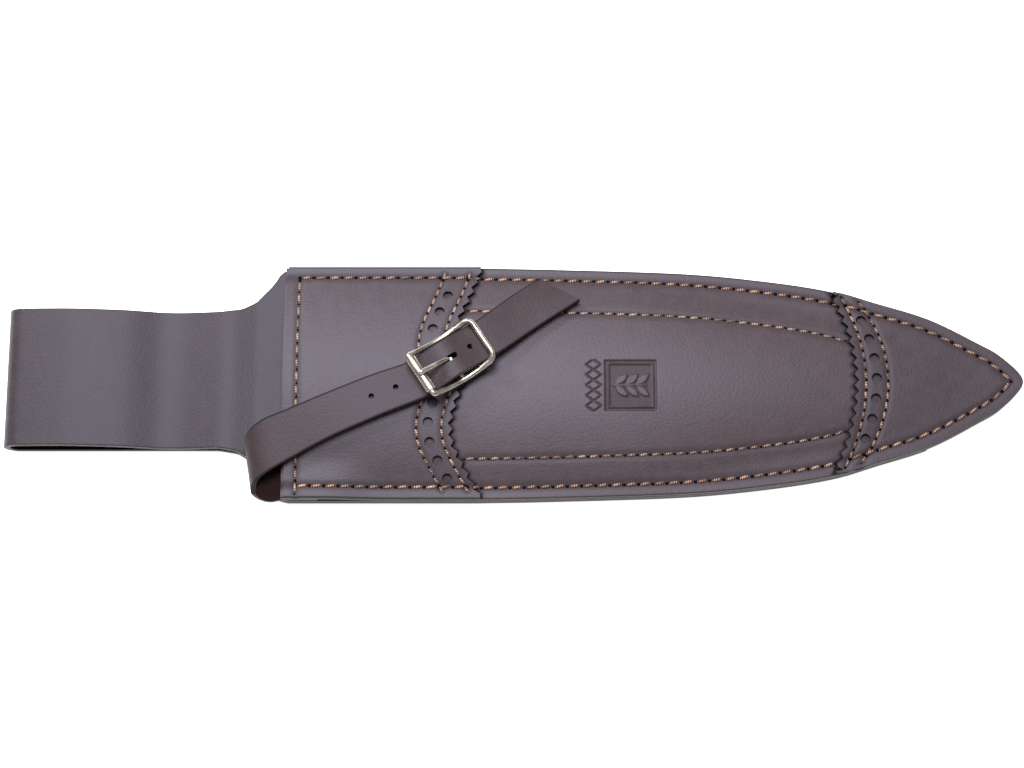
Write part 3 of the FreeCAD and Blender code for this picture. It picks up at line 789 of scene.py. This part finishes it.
mouth_holes = stepped(band_upper, 10.5 * mm, brogue_pitch) + stepped(band_lower[::-1], 6.9 * mm, brogue_pitch)
mouth_holes = inside_seam(mouth_holes, hole_room)
mouth_mesh = laid_sheet(70, mouth_rows, lay_mouth)
press_overlay(mouth_mesh, mouth_tree)
black_edge = fibre_leather("black_edge", (0.0065, 0.0055, 0.006), 0.35, 1400.0, 0.7, 0.15)
overlay_leather = grain_leather("overlay_leather", (0.053, 0.036, 0.038), (0.042, 0.027, 0.028), gloss=0.56)
mouth_overlay = finished("mouth_overlay_leather", mouth_mesh, (overlay_leather, flesh_side, black_edge), "root",
                         "overlay_leather", "mouth_overlay")
punched(mouth_overlay, mouth_holes, brogue_radius, overlay_thickness - 0.1 * mm)


# ---------------------------------------------------------------------------------------------
# Toe cap. The same thin leather over the toe, with a pinked edge on an arc and its own row of
# punched holes between two rows of stitches.
def edge_x(y):
    """Where the body's edge is at a distance y from the middle."""
    a, b = edge_run(lambda p: p.y >= abs(y))
    return a.x + (b.x - a.x) * (a.y - abs(y)) / max(1e-9, a.y - b.y)


toe_rows = (len(toe_teeth) - 1) * per_tooth


def lay_toe(u, v):
    k = (1 - v) * toe_rows / per_tooth
    i = min(len(toe_teeth) - 2, int(k + 1e-6))
    smooth_edge = toe_teeth[i].lerp(toe_teeth[i + 1], k - i)
    cut_edge = toe_teeth_cut[i].lerp(toe_teeth_cut[i + 1], k - i)
    near = max(0.0, 1 - u / 0.05)
    end = edge_x(smooth_edge.y)
    x = smooth_edge.x + (end - smooth_edge.x) * u
    return Vector((min(end, x + (cut_edge.x - smooth_edge.x) * near), smooth_edge.y, 0))


toe_row_left = inside_seam(toe_line("left", 0.5 * mm), 1.0 * mm)
toe_row_right = inside_seam(toe_line("right", 0.5 * mm), 1.0 * mm)
toe_tree = nearest(toe_row_left + toe_row_right)
toe_centre, toe_radius = toe_arc("holes")
toe_holes = []
for i in range(-6, 7):
    a = i * 6.5 * mm / toe_radius
    toe_holes.append(toe_centre + toe_radius * Vector((math.cos(a), math.sin(a), 0)))
toe_holes = inside_seam(toe_holes, hole_room)
toe_mesh = laid_sheet(70, toe_rows, lay_toe)
bmesh.ops.dissolve_degenerate(toe_mesh, dist=0.03 * mm, edges=toe_mesh.edges)
press_overlay(toe_mesh, toe_tree)
toe_cap = finished("toe_cap_leather", toe_mesh, (overlay_leather, flesh_side, black_edge), "root",
                   "overlay_leather", "toe_cap")
punched(toe_cap, toe_holes, brogue_radius, overlay_thickness - 0.1 * mm)


# ---------------------------------------------------------------------------------------------
# Threads. Waxed copper-coloured thread, sewn by machine. Each visible run is fat in the middle
# and dives into an awl hole at both ends; the runs lie a little aslant in their rows.
seam_thread_width = 0.9 * mm
fine_thread_width = 0.76 * mm
seam_pitch = 4.4 * mm
border_pitch = 3.8 * mm
band_pitch = 3.1 * mm


def waxed_thread(name, light, dark):
    """Two-ply thread: painted highlight and shade in slanting bands along the twist, and painted shade towards
    the ends of each run.
    """
    material, tree, shader = new_material(name)
    turn = scaled(tree, attribute(tree, "along"), 8200.0, attribute(tree, "around"))
    twist_shade_wave = node(tree, "ShaderNodeMath", {0: turn}, operation="SINE").outputs[0]
    place = own_place(tree)
    # painted highlight and shade: the twist's sine wave lightens and darkens the colour in slanting bands; it
    # also drives the bump
    twist = scaled(tree, twist_shade_wave, 0.22, noise(tree, place, 4200.0, 4.0))
    tone = scaled(tree, twist, 1.0, noise(tree, place, 160.0, 2.0))
    # painted shade: each run's colour darkens towards its ends, where it dives into the awl hole
    tone = scaled(tree, attribute(tree, "sunk_shade"), -0.55, tone)
    give(tree, shader, {"Base Color": shaded(tree, scaled(tree, tone, 0.5), 0.42, 0.66, dark, light),
                        "Normal": bumped(tree, twist, 0.6, 0.00012), "Roughness": 0.42, "Sheen Weight": 0.3})
    return material


def painted_hole_shade():
    """A near-black disc at each awl hole: painted shade standing in for the hole's depth."""
    material, tree, shader = new_material("awl_hole")
    shade_noise = noise(tree, own_place(tree), 2500.0, 3.0)
    dark = shaded(tree, shade_noise, 0.0, 1.0, (0.003, 0.002, 0.002), (0.014, 0.006, 0.005))
    give(tree, shader, {"Base Color": dark,
                        "Roughness": 0.9, "Specular IOR Level": 0.05})
    return material


copper_thread = waxed_thread("copper_thread", (0.56, 0.32, 0.20), (0.050, 0.014, 0.006))
fine_copper_thread = waxed_thread("fine_copper_thread", (0.55, 0.34, 0.23), (0.050, 0.016, 0.008))
hole_shade_paint = painted_hole_shade()
hole_shade_discs = bmesh.new()


def sew(mesh, points, height, width, slant, share=0.80, side=1, holes=True):
    """Adds one run of thread for each pair of points, and a dark disc of painted awl-hole shade at each point.
    """
    layers = mesh.verts.layers.float
    along, around, sunk_shade = [layers.get(label) or layers.new(label) for label in ("along", "around", "sunk_shade")]
    for a, b in zip(points, points[1:]):
        a, b = Vector((a.x, a.y, height(a.x, a.y))), Vector((b.x, b.y, height(b.x, b.y)))
        run = b - a
        length = run.length * share * random.uniform(0.96, 1.04)
        heading = run.to_track_quat("X", "Z").to_matrix().to_4x4()
        lean = Matrix.Rotation(math.radians(slant + random.uniform(-2, 2)), 4, "Z")
        place = Matrix.Translation((a + b) / 2) @ heading @ lean
        made = bmesh.ops.create_uvsphere(mesh, u_segments=10, v_segments=8, radius=1.0)["verts"]
        for v in made:
            lengthwise, u, w = v.co.z, v.co.x, v.co.y
            fat = (1 - abs(lengthwise) ** 2.6) ** 0.6 / max(1e-6, math.sqrt(max(1e-9, 1 - lengthwise ** 2)))
            fat = fat if abs(lengthwise) < 0.999 else 0
            v[along] = lengthwise * length / 2
            v[around] = math.atan2(w, u)
            # weight of the painted shade, darkest at the ends of the run
            v[sunk_shade] = abs(lengthwise) ** 3
            sag = -0.45 * width * abs(lengthwise) ** 3
            local = Vector((lengthwise * length / 2, u * fat * width / 2,
                            side * (w * side * fat * width * 0.42 + 0.10 * width + sag)))
            v.co = place @ local
    if holes:
        # painted shade: each awl hole is a near-black disc flush with the leather, standing in for the hole's
        # shadow
        for p in points:
            spot = Matrix.Translation((p.x, p.y, height(p.x, p.y) - 0.28 * mm))
            bmesh.ops.create_cone(hole_shade_discs, cap_ends=True, segments=10, radius1=width * 0.4,
                                  radius2=width * 0.66, depth=0.66 * mm, matrix=spot)


teeth_mean = shifted(band_line, band_pinked)


def uppermost(x, y):
    """Height of whatever leather is on top, pulled in along the seam."""
    over_mouth = x < min(teeth_mean, key=lambda p: abs(p.y - y)).x
    over_toe = x > toe_arc_x(y, "pinked")
    top = overlay_top(x, y) if over_mouth or over_toe else front_top(x, y)
    return top - 0.30 * mm


seam_points = [p for p in inset_line(seam_inset, 0.5 * mm) if p.x > seam_inset + overlay_setback - 0.1 * mm]
seam_points = even_steps(seam_points, seam_pitch)
seam_mesh = bmesh.new()
sew(seam_mesh, seam_points, uppermost, seam_thread_width, 10, share=0.86)
rear_points = [p for p in seam_points if p.x < tail_end - seam_inset]
rear_upper = [p for p in rear_points if p.y > 0]
rear_lower = [p for p in rear_points if p.y < 0]
for row in (rear_upper, rear_lower):
    sew(seam_mesh, row, lambda x, y: 0.52 * mm, seam_thread_width, -7, side=-1, holes=False)
seam_thread = finished("seam_thread_copper", seam_mesh, (copper_thread,), "root", "seam_thread", "seam_thread")



def overlay_row_height(x, y):
    return overlay_top(x, y) - 0.28 * mm


def border_row_height(x, y):
    return front_top(x, y) - 0.27 * mm


thread_rows = [
    ("mouth_thread", mouth_row, seam_pitch, overlay_row_height, 3),
    ("mouth_band_thread_left", inside_seam(band_row_left, 1 * mm), band_pitch, overlay_row_height, 9),
    ("mouth_band_thread_right", inside_seam(band_row_right, 1 * mm), band_pitch, overlay_row_height, 9),
    ("toe_band_thread_left", toe_row_left, band_pitch, overlay_row_height, 9),
    ("toe_band_thread_right", toe_row_right, band_pitch, overlay_row_height, 9),
    ("border_thread_upper", border_lines[0], border_pitch, border_row_height, 9),
    ("border_thread_lower", border_lines[1], border_pitch, border_row_height, 9),
]
for name, line, pitch, height, slant in thread_rows:
    row_mesh = bmesh.new()
    sew(row_mesh, even_steps(line, pitch), height, fine_thread_width, slant, share=0.84)
    finished(name + "_copper", row_mesh, (fine_copper_thread,), "root", "fine_thread", name)
# the awl-hole discs are painted shade
stitch_hole_shade = finished("hole_shade_discs", hole_shade_discs, (hole_shade_paint,), "root", "front_leather")


# ---------------------------------------------------------------------------------------------
# Buckle. A nickel-plated roller buckle for a half-inch strap: a bowed wire frame with a middle
# bar, a rolled tube that turns on its left bar, and a tongue hung on the middle bar.
joints = {j["name"]: j for j in frame["record"]["behaviour"]["joints"]}
bar_point = Vector(joints["prong_lift"]["pos_m"])
roller_point = Vector(joints["roller_spin"]["pos_m"])
across_buckle = Vector(joints["prong_lift"]["axis"]).normalized()
bar_spacing = 11.2 * mm
bow = 3.6 * mm
wire_radius = 0.8 * mm
side_y = strap_width / 2 + 0.15 * mm + wire_radius
rail_y = side_y + 0.22 * mm
tilt = math.atan2(bow, bar_spacing)
to_bar = (bar_point - roller_point).normalized()
ahead_buckle = Matrix.Rotation(-tilt, 3, across_buckle) @ to_bar
up_buckle = ahead_buckle.cross(across_buckle)


def at_bar(x, y, z):
    """A place near the buckle, measured from the middle bar."""
    return bar_point + x * ahead_buckle + y * across_buckle + z * up_buckle


def nickel_plate(name, roughness):
    """Bright nickel with fine polishing lines and slightly dull patches."""
    material, tree, shader = new_material(name)
    place = own_place(tree)
    patch = noise(tree, place, 240.0, 4.0)
    give(tree, shader, {"Base Color": shaded(tree, patch, 0.35, 0.65, (0.38, 0.35, 0.29), (0.60, 0.56, 0.49)),
                        "Roughness": ranged(tree, patch, 0.3, 0.7, roughness * 0.8, roughness * 1.5),
                        "Normal": bumped(tree, noise(tree, place, 3600.0, 3.0), 0.05, 0.00003),
                        "Metallic": 1.0})
    return material


nickel = nickel_plate("nickel", 0.26)
roller_nickel = nickel_plate("roller_nickel", 0.24)


def drawn_wire(name, points, radius, closed, radii=None):
    """A smooth round wire along points, as a mesh."""
    curve = bpy.data.curves.new(name, "CURVE")
    curve.dimensions = "3D"
    curve.bevel_depth = radius
    curve.bevel_resolution = 5
    curve.use_fill_caps = True
    line = curve.splines.new("POLY")
    line.points.add(len(points) - 1)
    for i, p in enumerate(points):
        line.points[i].co = (*p, 1)
        line.points[i].radius = radii[i] if radii else 1.0
    line.use_cyclic_u = closed
    holder = bpy.data.objects.new(name, curve)
    scene.collection.objects.link(holder)
    data = bpy.data.meshes.new_from_object(holder.evaluated_get(bpy.context.evaluated_depsgraph_get()))
    bpy.data.objects.remove(holder)
    wire = bmesh.new()
    wire.from_mesh(data)
    bmesh.ops.remove_doubles(wire, verts=wire.verts, dist=1e-7)
    bmesh.ops.recalc_face_normals(wire, faces=wire.faces)
    return wire


def buckle_quarter(corner, end):
    """Half an end bar, a bent corner and half of the bowed side rail, in order."""
    slope = 2 * math.atan2(bow, bar_spacing + corner)
    points = [(end * bar_spacing, 0, bow), (end * bar_spacing, (rail_y - corner) * 0.5, bow)]
    for i in range(9):
        a = math.radians(90 * i / 8)
        inward = corner * (1 - math.cos(a))
        points.append((end * (bar_spacing - inward * math.cos(slope)), rail_y - corner + corner * math.sin(a),
                       bow - inward * math.sin(slope)))
    run = bar_spacing - corner * math.cos(slope)
    radius = run / math.sin(slope)
    for i in range(1, 17):
        a = slope * (1 - i / 16)
        points.append((end * radius * math.sin(a), rail_y, radius * (1 - math.cos(a))))
    clear_of_tail = 0.35 * mm if end > 0 else 0
    return [(x, y, z + clear_of_tail * (x / bar_spacing) ** 2) for x, y, z in points]


left_quarter = buckle_quarter(1.0 * mm, -1)
right_quarter = buckle_quarter(2.4 * mm, 1)
upper_run = left_quarter + right_quarter[::-1][1:]
lower_run = [(x, -y, z) for x, y, z in upper_run[::-1]]
ring = upper_run[1:] + lower_run[1:]
frame_mesh = drawn_wire("buckle_frame", [at_bar(*p) for p in ring], 1.2 * wire_radius, True)
buckle_frame = finished("buckle_frame_nickel", frame_mesh, (nickel,), "buckle", "nickel", "buckle_frame")
bar_mesh = drawn_wire("centre_bar", [at_bar(0, y, 0) for y in (-side_y * 0.93, 0, side_y * 0.93)], wire_radius,
                      False)
centre_bar = finished("centre_bar_nickel", bar_mesh, (nickel,), "buckle", "nickel", "centre_bar")

roller_length = 2 * (side_y - 1.0 * mm) - 0.3 * mm
roller_radius = 1.8 * mm


def lay_roller(u, v):
    """A strip rolled into a tube, with its butted seam underneath."""
    a = math.radians(-88 - 356 * u)
    return at_bar(-bar_spacing + roller_radius * math.cos(a), (v - 0.5) * roller_length,
                  bow + roller_radius * math.sin(a))


roller_mesh = laid_sheet(64, 12, lay_roller)
roller = finished("buckle_roller_nickel", roller_mesh, (roller_nickel,), "roller", "nickel_roller",
                  "buckle_roller")
tube_wall = roller.modifiers.new("wall", "SOLIDIFY")
tube_wall.thickness = 0.75 * mm
tube_wall.offset = -1
rounded(roller, 0.3 * mm)

tip_z = bow + roller_radius + 0.9 * mm
tongue = [(-1.25, 0, -0.4), (-1.25, 0, 1.6), (-1.35, 0, 3.0), (-1.8, 0, 3.75), (-2.8, 0, 4.2), (-5.0, 0, 4.75),
          (-8.0, 0, 5.5)]
tongue = [tuple(c * mm for c in p) for p in tongue]
tongue += [(-bar_spacing, 0, tip_z), (-bar_spacing - 0.9 * mm, 0, tip_z - 0.1 * mm)]
tongue = curve_through(tongue, 0.35 * mm)
thinning = [0.85 + 0.33 * (i / (len(tongue) - 1)) for i in range(len(tongue))]
thinning[-2:] = [1.0, 0.55]
prong_mesh = drawn_wire("buckle_prong", [at_bar(*p) for p in tongue], 0.72 * mm, False, thinning)


def lay_eye(u, v):
    """The strip end curled round the middle bar."""
    a = math.radians(150 - 340 * u)
    return at_bar(1.5 * mm * math.cos(a), (v - 0.5) * 1.6 * mm, 1.5 * mm * math.sin(a))


eye_mesh = laid_sheet(32, 4, lay_eye)
eye_data = bpy.data.meshes.new("prong_eye")
bmesh.ops.solidify(eye_mesh, geom=eye_mesh.faces[:], thickness=0.55 * mm)
eye_mesh.to_mesh(eye_data)
eye_mesh.free()
prong_mesh.from_mesh(eye_data)
bmesh.ops.recalc_face_normals(prong_mesh, faces=prong_mesh.faces)
prong = finished("buckle_prong_nickel", prong_mesh, (nickel,), "prong", "nickel", "buckle_prong")


# ---------------------------------------------------------------------------------------------
# Retention strap. Half-inch strap leather with dyed and creased edges. Its root is sewn into
# the seam at the lower corner of the mouth; it rolls over there and crosses to the buckle.
strap_thickness = 1.6 * mm
tab_thickness = 0.8 * mm
tab_seat = -(tab_thickness + 0.1 * mm + wire_radius)
buckle_place = Vector((51.9 * mm, 4.8 * mm, 0))


def at_seat(x, y, z):
    """A place over the buckle's seat, in millimetres from the face that the tab lies on."""
    return at_bar(x * mm, y * mm, z * mm + tab_seat)


def skewed(middle_point, skew_x, skew_y, top, far_lift, near_lift):
    """The strap's edges either side of a middle point, lying on a surface."""
    half = strap_width * Vector((skew_x, skew_y, 0))
    far, near = middle_point + half, middle_point - half
    far.z = top(far.x, far.y) + far_lift
    near.z = top(near.x, near.y) + near_lift
    return far, near


def strap_stations():
    """Far and near edge points of the strap's middle, from its root to its tail."""
    near_root = -half_mouth - 1.0 * mm
    far_root = near_root + strap_width
    root_z = backing_top + root_bump / 2
    lip = overlay_top(overlay_setback, 0)
    over = strap_thickness / 2 + 0.4 * mm
    stations = []
    for x in (strap_root_depth, 5.5 * mm, 0.0):
        stations.append((Vector((x, far_root, root_z)), Vector((x, 0.1 * mm - half_mouth, root_z))))
    fold = [((-5.0, 0.4, 0.9), (-3.6, 0.1, 0.3)), ((-9.4, 2.4, 2.2), (-7.4, 1.2, 1.2))]
    rise = [((-10.9, 5.6, -4.2), (-8.7, 3.2, -5.4)), ((-9.6, 8.9, -0.8), (-7.4, 6.3, -2.4)),
            ((-5.6, 12.2, 0.8), (-3.4, 8.8, -0.9))]
    for turns, base in ((fold, root_z), (rise, lip)):
        for far, near in turns:
            stations.append((Vector((far[0] * mm, far_root + far[1] * mm, base + far[2] * mm)),
                             Vector((near[0] * mm, near_root + near[1] * mm, base + near[2] * mm))))
    crossing = [(0.054, 0.615, -0.177, 0.540), (0.227, 0.4945, -0.194, 0.492), (0.412, 0.3825, -0.194, 0.484),
                (0.615, 0.265, -0.202, 0.476)]
    corner_y = near_root + strap_width / 2
    for along, back, skew_x, skew_y in crossing:
        middle_point = Vector((along * buckle_place.x, buckle_place.y + back * (corner_y - buckle_place.y), 0))
        stations.append(skewed(middle_point, skew_x, skew_y, overlay_top, over + 0.3 * mm, over + 0.9 * mm))
    half = strap_width / 2 / mm
    for x, z in ((-11.2, 0.9), (-6.5, 2.9), (-2.5, 4.4), (0.8, 4.6), (5, 3.6), (10.2, 2.8), (15, 2.8)):
        stations.append((at_seat(x, half, z), at_seat(x, -half, z)))
    tail = [(21.4, 15.35, -0.298, 0.423, 2.4), (27.85, 20.0, -0.391, 0.371, 2.0),
            (33.85, 23.9, -0.496, 0.282, 1.4)]
    for x, y, skew_x, skew_y, curl in tail:
        middle_point = buckle_place + Vector((x * mm, y * mm, 0))
        stations.append(skewed(middle_point, skew_x, skew_y, front_top, over + curl * mm, over + 0.9 * mm))
    return stations


def softened(stations):
    """Cuts each corner of both edge lines at a quarter and three quarters of its runs."""
    result = [stations[0]]
    for (f1, n1), (f2, n2) in zip(stations, stations[1:]):
        result += [(f1.lerp(f2, s), n1.lerp(n2, s)) for s in (0.25, 0.75)]
    return result + [stations[-1]]


strap_sections = softened(softened(softened(strap_stations())))


def lay_strap(u, v):
    i = min(len(strap_sections) - 1, round(u * (len(strap_sections) - 1)))
    far, near = strap_sections[i]
    return near.lerp(far, v)


def square_punch(distance, radius):
    """A round punch square to the strap, at a distance along it from the prong's hole."""
    middles = [far.lerp(near, 0.5) for far, near in strap_sections]
    home = at_seat(-0.6, 0, 4.4)
    i = min(range(len(middles)), key=lambda k: (middles[k] - home).length)
    step = 1 if distance > 0 else -1
    left = abs(distance)
    while left > (middles[i + step] - middles[i]).length:
        left -= (middles[i + step] - middles[i]).length
        i += step
    travel = (middles[i + step] - middles[i]).normalized()
    square = travel.cross(strap_sections[i][1] - strap_sections[i][0]).normalized()
    place = Matrix.Translation(middles[i] + travel * left) @ square.to_track_quat("Z", "X").to_matrix().to_4x4()
    punch = bmesh.new()
    bmesh.ops.create_cone(punch, cap_ends=True, segments=24, radius1=radius, radius2=radius, depth=6 * mm,
                          matrix=place)
    return held("punch", punch)


def hole_tool(x, length, radius):
    """A round or oblong punch square to the strap over the buckle."""
    punch = bmesh.new()
    bmesh.ops.create_circle(punch, cap_ends=True, segments=24, radius=radius)
    for v in punch.verts:
        v.co.x += length / 2 if v.co.x > 1e-6 else (-length / 2 if v.co.x < -1e-6 else 0)
    up = bmesh.ops.extrude_face_region(punch, geom=punch.faces[:])
    raised = [v for v in up["geom"] if isinstance(v, bmesh.types.BMVert)]
    bmesh.ops.translate(punch, vec=(0, 0, 16 * mm), verts=raised)
    bmesh.ops.recalc_face_normals(punch, faces=punch.faces)
    for v in punch.verts:
        v.co = at_bar(x + v.co.x, v.co.y, v.co.z - 7 * mm)
    return held("punch", punch)


strap_mesh = laid_sheet(len(strap_sections) - 1, 16, lay_strap)
strap_leather = grain_leather("strap_leather", (0.042, 0.024, 0.023), (0.033, 0.018, 0.017),
                              rim=0.9, gloss=0.42)
retention_strap = finished("retention_strap_leather", strap_mesh,
                           (strap_leather, flesh_side, dyed_edge), "root",
                           "strap_leather", "retention_strap")
thickened(retention_strap, strap_thickness, 0)
strap_hole = 0.9 * mm
tools = [hole_tool(-0.6 * mm, 3.4 * mm, strap_hole)]
for distance in (-27.0 * mm, -19.0 * mm, 7.4 * mm):
    tools.append(square_punch(distance, strap_hole))
cut_with(retention_strap, tools)
rounded(retention_strap, 0.35 * mm)


# ---------------------------------------------------------------------------------------------
# Buckle tab. A short strip of thin strap leather folded round the middle bar and sewn down
# under the strap's tail, with a slot where the prong's eye turns.
tab_length = 17.0 * mm
tab_width = 11.8 * mm
tab_middle = wire_radius + 0.1 * mm + tab_thickness / 2
tab_path = [(tab_length, -tab_middle), (tab_length * 0.5, -tab_middle), (1.0 * mm, -tab_middle)]
for turn in range(0, 181, 20):
    a = math.radians(-90 - turn)
    tab_path.append((tab_middle * math.cos(a), tab_middle * math.sin(a)))
tab_path += [(1.2 * mm, tab_middle * 0.93), (5.0 * mm, -tab_middle + tab_thickness + 0.15 * mm),
             (tab_length * 0.6, -tab_middle + tab_thickness + 0.08 * mm),
             (tab_length, -tab_middle + tab_thickness + 0.08 * mm)]
tab_line = curve_through([(x, 0, z) for x, z in tab_path], 0.5 * mm)


def lay_tab(u, v):
    p = tab_line[min(len(tab_line) - 1, round(u * (len(tab_line) - 1)))]
    return at_bar(p.x, (0.5 - v) * tab_width, p.z)


tab_mesh = laid_sheet(len(tab_line) - 1, 12, lay_tab)
buckle_tab = finished("buckle_tab_leather", tab_mesh, (strap_leather, flesh_side, dyed_edge), "root",
                      "strap_leather", "buckle_tab")
thickened(buckle_tab, tab_thickness, 0)
cut_with(buckle_tab, [hole_tool(-0.4 * mm, 5.2 * mm, 1.1 * mm)])

tab_sewing = bmesh.new()
for side in (-1, 1):
    row = [Vector((x, side * (tab_width / 2 - 2 * mm), 0)) for x in (7 * mm, 15.5 * mm)]
    sew(tab_sewing, even_steps(row, band_pitch), lambda x, y: tab_thickness * 1.5 + 0.05 * mm - tab_middle,
        0.6 * mm, 0, holes=False)
for v in tab_sewing.verts:
    v.co = at_bar(*v.co)
finished("tab_thread_copper", tab_sewing, (fine_copper_thread,), "root", "fine_thread", "tab_thread")
